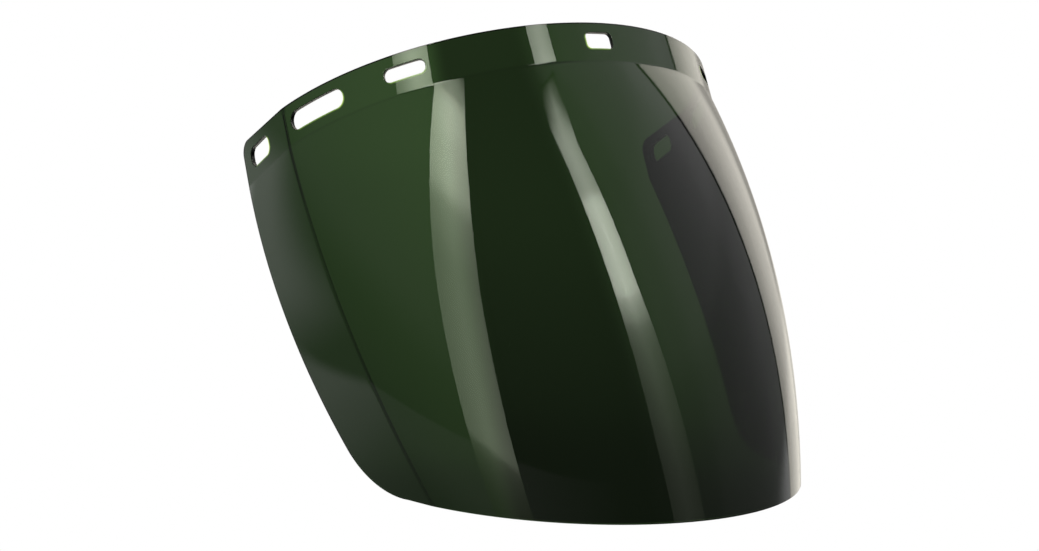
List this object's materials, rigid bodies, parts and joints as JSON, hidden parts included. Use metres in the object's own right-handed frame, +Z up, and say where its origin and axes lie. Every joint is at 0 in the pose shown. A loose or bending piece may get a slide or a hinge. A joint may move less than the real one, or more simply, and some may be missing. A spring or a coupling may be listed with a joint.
{
  "type": "face shield window",
  "caption": "Dark green see-through moulded window for a face shield: a curved, bulging visor with creased side wings and a slotted band along the top.",
  "frame": {"origin": "centre of the bounding box, on the level bottom edge that the window stands on", "axes": "+Z up, with the window standing on its bottom edge; the front of the window faces -Y, and the wearer's left is +X"},
  "size_m": [0.2374, 0.22, 0.2036],
  "materials": {
    "tinted_window": "smooth moulded gloss, dark green tint, see-through; two layers look nearly black"
  },
  "bodies": {
    "root": {"visor_window": "tinted_window"}
  },
  "joints": []
}
